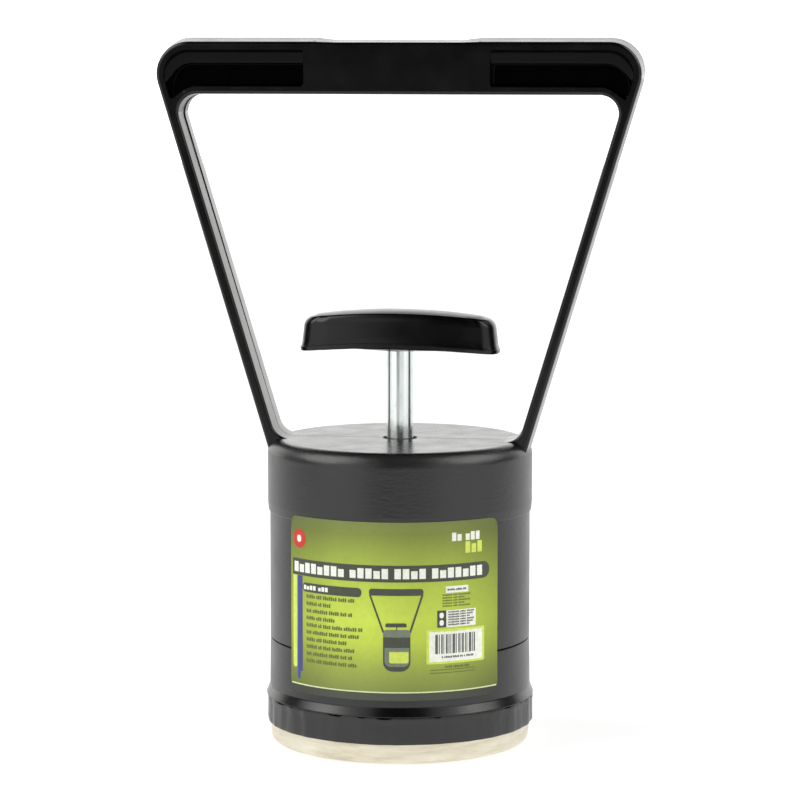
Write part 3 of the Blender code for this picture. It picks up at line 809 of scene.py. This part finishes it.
def coil_spring(steel):
    """Round-wire spring at the length of its CAD part; the real one shortens as the magnet is
    lifted.
    """
    low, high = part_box("return_spring")
    low_z = low.z / MM
    high_z = high.z / MM
    turn_steps = 48
    sides = 12
    dead = 2.25 * WIRE_RADIUS
    active = (high_z - low_z - 2 * WIRE_RADIUS - 2 * dead) / (COIL_TURNS - 2)
    bm = bmesh.new()
    rings = []
    for i in range(COIL_TURNS * turn_steps + 1):
        done = i / turn_steps
        rise = dead * min(done, 1) + active * min(max(done - 1, 0), COIL_TURNS - 2)
        rise += dead * max(done - (COIL_TURNS - 1), 0)
        outward = Vector((math.cos(2 * math.pi * done), math.sin(2 * math.pi * done), 0))
        centre = outward * COIL_RADIUS + Vector((0, 0, low_z + WIRE_RADIUS + rise))
        section = []
        for k in range(sides):
            around = 2 * math.pi * k / sides
            offset = outward * math.cos(around) + Vector((0, 0, math.sin(around)))
            section.append(bm.verts.new(centre + offset * WIRE_RADIUS))
        rings.append(section)
    for lower, upper in zip(rings, rings[1:]):
        for k in range(sides):
            bm.faces.new((lower[k - 1], lower[k], upper[k], upper[k - 1]))
    bm.faces.new(rings[0])
    bm.faces.new(rings[-1])
    spring = add_piece("coil_spring", bm, [steel], 60.0)
    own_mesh(spring)
    fit(spring, "magnet_carriage", "spring_steel", "return_spring")


# -------------------- materials

class Recipe:
    """A Principled material and short ways to add the nodes that vary it."""

    def __init__(self, name, **sockets):
        self.mat = bpy.data.materials.new(name)
        self.mat.use_nodes = True
        self.tree = self.mat.node_tree
        self.shader = self.tree.nodes["Principled BSDF"]
        self.place = self.add("ShaderNodeTexCoord").outputs["Object"]
        for socket, value in sockets.items():
            self.shader.inputs[socket.replace("_", " ")].default_value = value

    def add(self, kind, **settings):
        """New node with the given settings."""
        node = self.tree.nodes.new(kind)
        for key, value in settings.items():
            setattr(node, key, value)
        return node

    def link(self, output, socket):
        self.tree.links.new(output, socket)

    def stretched(self, x, y, z):
        """Object coordinates scaled along each axis."""
        mapping = self.add("ShaderNodeMapping")
        mapping.inputs["Scale"].default_value = (x, y, z)
        self.link(self.place, mapping.inputs["Vector"])
        return mapping.outputs["Vector"]

    def noise(self, scale, detail=3.0, roughness=0.55, place=None):
        """Noise with about scale lumps to the metre."""
        node = self.add("ShaderNodeTexNoise")
        node.inputs["Scale"].default_value = scale
        node.inputs["Detail"].default_value = detail
        node.inputs["Roughness"].default_value = roughness
        self.link(place or self.place, node.inputs["Vector"])
        return node.outputs["Fac"]

    def ramp(self, value, *stops):
        """Colour ramp through (position, colour) stops; a number stands for a grey."""
        node = self.add("ShaderNodeValToRGB")
        while len(node.color_ramp.elements) < len(stops):
            node.color_ramp.elements.new(0.5)
        for element, (position, colour) in zip(node.color_ramp.elements, stops):
            element.position = position
            grey = not isinstance(colour, tuple)
            element.color = (colour, colour, colour, 1) if grey else (*colour, 1)
        self.link(value, node.inputs["Fac"])
        return node.outputs["Color"]

    def math(self, operation, a, b):
        """Sum, product and the like of two outputs or numbers."""
        node = self.add("ShaderNodeMath", operation=operation)
        for socket, value in zip(node.inputs, (a, b)):
            if isinstance(value, (int, float)):
                socket.default_value = value
            else:
                self.link(value, socket)
        return node.outputs[0]

    def mix(self, share, a, b, blend="MIX"):
        """Blend of two colours, each an output or a tuple."""
        node = self.add("ShaderNodeMix", data_type="RGBA", blend_type=blend)
        for socket, value in ((node.inputs[0], share), (node.inputs[6], a), (node.inputs[7], b)):
            if isinstance(value, tuple):
                socket.default_value = (*value, 1)
            elif isinstance(value, (int, float)):
                socket.default_value = value
            else:
                self.link(value, socket)
        return node.outputs[2]

    def colour(self, output):
        """Let an output drive the base colour."""
        self.link(output, self.shader.inputs["Base Color"])

    def roughness(self, output):
        """Let an output drive the roughness."""
        self.link(output, self.shader.inputs["Roughness"])

    def bump(self, *layers):
        """Stack (height, depth in mm) layers of fine relief."""
        normal = None
        for height, depth in layers:
            node = self.add("ShaderNodeBump")
            node.inputs["Distance"].default_value = depth * MM
            self.link(height, node.inputs["Height"])
            if normal:
                self.link(normal, node.inputs["Normal"])
            normal = node.outputs["Normal"]
        self.link(normal, self.shader.inputs["Normal"])

    def height(self):
        """Z in mm."""
        split = self.add("ShaderNodeSeparateXYZ")
        self.link(self.place, split.inputs[0])
        return self.math("MULTIPLY", split.outputs["Z"], 1000.0)


def srgb(red, green, blue):
    """Linear colour of an 8-bit sRGB one."""
    return tuple(((c / 255 + 0.055) / 1.055) ** 2.4 if c > 10 else c / 255 / 12.92
                 for c in (red, green, blue))


def body_plastic():
    """Black moulding with a fine grain, a little dusty in places."""
    m = Recipe("body_plastic", Specular_IOR_Level=0.6)
    cloud = m.noise(90.0, 4.0)
    tone = m.ramp(cloud, (0.3, 0.0075), (0.7, 0.0105))
    dust = m.ramp(m.noise(900.0, 2.0), (0.66, 0.0), (0.78, 0.25))
    m.colour(m.mix(dust, tone, (0.04, 0.04, 0.042)))
    m.roughness(m.ramp(cloud, (0.3, 0.30), (0.7, 0.38)))
    creased = m.noise(800.0, 3.0, 0.6, m.stretched(0.6, 0.6, 2.0))
    m.bump((creased, 0.06), (m.noise(420.0, 3.0), 0.02), (m.noise(2600.0, 4.0, 0.6), 0.012))
    return m.mat


def smooth_plastic(name, dark, rough, relief, gloss=0.5):
    """The same moulding where the mould's polish leaves it smooth and deep black."""
    m = Recipe(name, Specular_IOR_Level=gloss)
    cloud = m.noise(140.0, 4.0)
    m.colour(m.ramp(cloud, (0.3, dark), (0.75, dark * 1.8)))
    m.roughness(m.ramp(cloud, (0.3, rough), (0.7, rough + 0.07)))
    m.bump((m.noise(520.0, 3.0), relief), (m.noise(2400.0, 3.0), relief * 0.6))
    return m.mat


def recess_shaded_plastic():
    """Polished floor and walls of the coring recesses, in a darker black than the handle's: painted
    shade.
    """
    m = Recipe("recess_shaded_plastic", Specular_IOR_Level=0.10)
    cloud = m.noise(200.0, 3.0)
    # painted shade: the recesses are coloured darker than the handle's moulding
    m.colour(m.ramp(cloud, (0.3, 0.0004), (0.7, 0.0008)))
    m.roughness(m.ramp(cloud, (0.3, 0.11), (0.7, 0.17)))
    m.bump((m.noise(380.0, 2.0), 0.008))
    return m.mat


def band_vinyl():
    """Glossy stretched vinyl with thin ripples."""
    m = Recipe("band_vinyl", Specular_IOR_Level=0.5)
    cloud = m.noise(160.0, 4.0)
    ripples = m.noise(300.0, 3.0, 0.6, m.stretched(1, 1, 0.15))
    m.colour(m.ramp(cloud, (0.3, 0.014), (0.7, 0.021)))
    m.roughness(m.ramp(cloud, (0.3, 0.26), (0.7, 0.38)))
    m.bump((ripples, 0.05), (m.noise(1500.0, 3.0), 0.01))
    return m.mat


def brushed_steel():
    """Stainless sheet brushed round the cup, with cloudy wiping marks."""
    m = Recipe("brushed_steel", Metallic=0.75)
    lines = m.noise(60.0, 6.0, 0.7, m.stretched(1, 1, 45))
    wiped = m.noise(70.0, 5.0, 0.65, m.stretched(1, 1, 7))
    m.colour(m.ramp(wiped, (0.30, srgb(200, 191, 167)), (0.5, srgb(223, 215, 193)),
                    (0.72, srgb(239, 235, 217))))
    m.roughness(m.ramp(lines, (0.3, 0.24), (0.7, 0.40)))
    m.bump((lines, 0.010), (wiped, 0.02))
    return m.mat


def zinc_plate():
    """Bright zinc plating with faint drawing lines."""
    m = Recipe("zinc_plate", Metallic=0.85)
    lines = m.noise(220.0, 5.0, 0.6, m.stretched(9, 9, 0.5))
    stains = m.noise(260.0, 4.0)
    dull = m.ramp(stains, (0.55, 0.0), (0.8, 0.5))
    m.colour(m.mix(dull, srgb(232, 238, 236), srgb(186, 192, 190)))
    m.roughness(m.ramp(stains, (0.35, 0.13), (0.7, 0.24)))
    m.bump((lines, 0.003))
    return m.mat


def metal(name, colour, rough, scale, depth, metallic=1.0):
    """Plain machined or cast metal with a mottled finish."""
    m = Recipe(name, Metallic=metallic)
    cloud = m.noise(scale, 4.0)
    darker = tuple(c * 0.72 for c in colour)
    m.colour(m.ramp(cloud, (0.3, darker), (0.7, colour)))
    m.roughness(m.ramp(cloud, (0.3, rough), (0.7, rough + 0.14)))
    m.bump((m.noise(scale * 6, 3.0), depth))
    return m.mat


def nylon():
    """Pale engineering plastic of the bush and the centring ring."""
    m = Recipe("nylon", Specular_IOR_Level=0.5)
    cloud = m.noise(300.0, 3.0)
    m.colour(m.ramp(cloud, (0.3, srgb(222, 219, 208)), (0.7, srgb(234, 232, 222))))
    m.roughness(m.ramp(cloud, (0.3, 0.4), (0.7, 0.5)))
    m.bump((m.noise(2000.0, 2.0), 0.006))
    return m.mat


def under_gloss(red, green, blue):
    """Linear colour of an 8-bit sRGB one, less what the film's gloss adds to it."""
    return tuple(max(c - 0.014, 0.0) for c in srgb(red, green, blue))


def label_green():
    """Green print that glows lime behind the drawing; round the label it is lightest just left of
    the centre and darker towards the edges, partly the print's own glow and partly painted shade.
    """
    m = Recipe("label_green", Specular_IOR_Level=0.22)
    top_z = LABEL_Z[1]
    level = m.math("DIVIDE", m.height(), top_z)
    bands = ((16.5, (89, 92, 83)), (16.6, (140, 152, 84)), (21.5, (166, 180, 88)),
             (28.0, (203, 223, 90)), (33.0, (213, 233, 96)), (42.0, (190, 210, 90)),
             (52.5, (140, 152, 79)), (55.4, (133, 145, 86)))
    tone = m.ramp(level, *[(z / top_z, under_gloss(*colour)) for z, colour in bands])
    split = m.add("ShaderNodeSeparateXYZ")
    m.link(m.place, split.inputs[0])
    around = m.math("ARCTAN2", split.outputs["X"], m.math("MULTIPLY", split.outputs["Y"], -1.0))
    turn = m.math("DIVIDE", m.math("ADD", around, math.radians(60) - VIEW_TURN), math.radians(120))
    # painted shade: the print is darkened round towards the label's edges, lightest just left of
    # the centre
    painted_shade_stops = ((-54, 0.54), (-36, 0.78), (-28, 0.93), (-14, 1.0), (5, 0.87), (22, 0.86),
              (46, 0.53))
    painted_shade = m.ramp(turn, *[((degrees + 60) / 120, value) for degrees, value in painted_shade_stops])
    tone = m.mix(1.0, tone, painted_shade, "MULTIPLY")
    specks = m.ramp(m.noise(700.0, 4.0), (0.4, 0.0), (0.8, 0.10))
    m.colour(m.mix(specks, tone, srgb(96, 104, 62)))
    m.roughness(m.ramp(m.noise(120.0), (0.3, 0.34), (0.7, 0.44)))
    m.bump((m.noise(160.0, 3.0), 0.02))
    return m.mat


def ink(name, colour):
    """Printing ink with the slight unevenness of print."""
    m = Recipe(name, Specular_IOR_Level=0.22)
    weaker = tuple(c * (1 - 0.12) for c in colour)
    m.colour(m.ramp(m.noise(1100.0, 3.0), (0.35, weaker), (0.65, colour)))
    m.roughness(m.ramp(m.noise(150.0), (0.3, 0.36), (0.7, 0.46)))
    m.bump((m.noise(160.0, 3.0), 0.02))
    return m.mat


# -------------------- pieces of the CAD that stay

def finish_inner_nodes(zinc):
    """Give the CAD nodes that stay their own metals and plastics; return the spring's steel."""
    steel = metal("spring_steel", (0.42, 0.42, 0.43), 0.28, 400.0, 0.006)
    iron = metal("soft_iron", (0.36, 0.36, 0.37), 0.38, 500.0, 0.012)
    looks = {"guide_bush": nylon(), "centring_ring": nylon(), "upper_washer": zinc,
             "spring_seat": zinc, "magnet_pot": iron, "pole_core": iron,
             "ring_magnet": metal("ferrite", (0.05, 0.05, 0.055), 0.6, 900.0, 0.02, 0.0),
             "handle_insert": metal("brass", (0.78, 0.58, 0.27), 0.28, 300.0, 0.006),
             "stop_clip": steel, "lock_washer": steel, "rod_lock_nut": zinc,
             "flat_washer": zinc, "magnet_nut": zinc}
    for name, mat in looks.items():
        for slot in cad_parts[name].material_slots:
            slot.material = mat
    return steel


# -------------------- studio

def studio_floor():
    """Pale glowing floor just under the base, ending between the object and the camera."""
    front = -620.0
    back = 3000.0
    side = 2500.0
    bm = bmesh.new()
    bm.faces.new([bm.verts.new((x, y, -0.3))
                  for x, y in ((-side, front), (side, front), (side, back), (-side, back))])
    m = Recipe("pale_floor", Roughness=0.9, Specular_IOR_Level=0.0)
    m.colour(m.ramp(m.noise(6.0), (0.3, 0.40), (0.7, 0.42)))
    m.shader.inputs["Emission Color"].default_value = (1, 1, 1, 1)
    m.shader.inputs["Emission Strength"].default_value = 0.74
    floor = add_piece("studio_floor", bm, [m.mat])


def toward(azimuth, elevation):
    """Direction from the object, in degrees round from the camera and up from the horizon."""
    around = math.radians(azimuth) + VIEW_TURN
    up = math.radians(elevation)
    return Vector((math.sin(around) * math.cos(up), -math.cos(around) * math.cos(up), math.sin(up)))


def studio_world():
    """White backdrop behind the object, four soft boxes and a low band in front; dark elsewhere."""
    world = bpy.data.worlds.new("studio")
    bpy.context.scene.world = world
    world.use_nodes = True
    tree = world.node_tree
    background = tree.nodes["Background"]
    direction = tree.nodes.new("ShaderNodeTexCoord").outputs["Generated"]

    def spread(axis, low, high, from_value, to_value):
        """Smooth change of brightness with the part of a direction that lies along an axis."""
        dot = tree.nodes.new("ShaderNodeVectorMath")
        dot.operation = "DOT_PRODUCT"
        tree.links.new(direction, dot.inputs[0])
        dot.inputs[1].default_value = axis
        change = tree.nodes.new("ShaderNodeMapRange")
        change.interpolation_type = "SMOOTHSTEP"
        tree.links.new(dot.outputs["Value"], change.inputs["Value"])
        for socket, value in zip(("From Min", "From Max", "To Min", "To Max"),
                                 (low, high, from_value, to_value)):
            change.inputs[socket].default_value = value
        return change.outputs["Result"]

    def combine(operation, a, b):
        """Sum, product or larger of two brightnesses."""
        node = tree.nodes.new("ShaderNodeMath")
        node.operation = operation
        tree.links.new(a, node.inputs[0])
        tree.links.new(b, node.inputs[1])
        return node.outputs[0]

    backdrop = spread(toward(180, 0), 0.42, 0.66, 0.03, 1.7)
    overhead = spread(Vector((0, 0, 1)), 0.34, 0.62, 1.0, 0.03)
    light = combine("MULTIPLY", backdrop, overhead)
    boxes = ((-52, 16, 0.85, 0.92, 1.1), (52, 16, 0.87, 0.93, 1.0),
             (-82, 42, 0.88, 0.94, 3.6), (82, 42, 0.88, 0.94, 3.2))
    for azimuth, elevation, rim, core, strength in boxes:
        light = combine("ADD", light, spread(toward(azimuth, elevation), rim, core, 0.0, strength))
    low_front = spread(Vector((0, 0, 1)), -0.07, 0.0, 0.9, 0.0)
    gap = spread(toward(-17, -4), 0.965, 0.99, 1.0, 0.15)
    light = combine("ADD", light, combine("MULTIPLY", low_front, gap))
    seen = tree.nodes.new("ShaderNodeLightPath").outputs["Is Camera Ray"]
    light = combine("MAXIMUM", light, seen)
    tree.links.new(light, background.inputs["Strength"])
    background.inputs["Color"].default_value = (1.0, 1.0, 0.985, 1)


def studio_camera():
    """Camera fitted to the photograph, a little round from the front and looking down."""
    data = bpy.data.cameras.new("camera")
    data.lens = LENS
    data.sensor_width = SENSOR
    data.clip_start = 0.01
    camera = bpy.data.objects.new("camera", data)
    bpy.context.scene.collection.objects.link(camera)
    camera.location = (VIEW_DISTANCE * math.sin(VIEW_TURN) * MM,
                       -VIEW_DISTANCE * math.cos(VIEW_TURN) * MM, VIEW_HEIGHT * MM)
    camera.rotation_euler = (math.pi / 2 - VIEW_DOWN, 0, VIEW_TURN)
    bpy.context.scene.camera = camera
    bpy.context.scene.view_settings.view_transform = "Standard"


def build():
    """Make the studio, the materials and every piece."""
    studio_camera()
    studio_world()
    studio_floor()
    plastic = body_plastic()
    smooth = smooth_plastic("handle_plastic", 0.0012, 0.19, 0.008, 0.4)
    deck = smooth_plastic("deck_plastic", 0.004, 0.23, 0.012)
    pull = smooth_plastic("pull_plastic", 0.0008, 0.20, 0.008, 0.36)
    bead = smooth_plastic("bead_plastic", 0.002, 0.20, 0.010)
    zinc = zinc_plate()
    housing_shell(plastic, smooth, recess_shaded_plastic(), deck)
    parting_flash(smooth)
    sleeve_shell(plastic, bead)
    cup_shell(brushed_steel())
    band_wrap(band_vinyl())
    label_film(label_green())
    label_prints({name: ink("ink_" + name, srgb(*tint)) for name, tint in INK_TINTS.items()})
    pull_grip(pull)
    rod_shaft(zinc)
    coil_spring(finish_inner_nodes(zinc))


build()
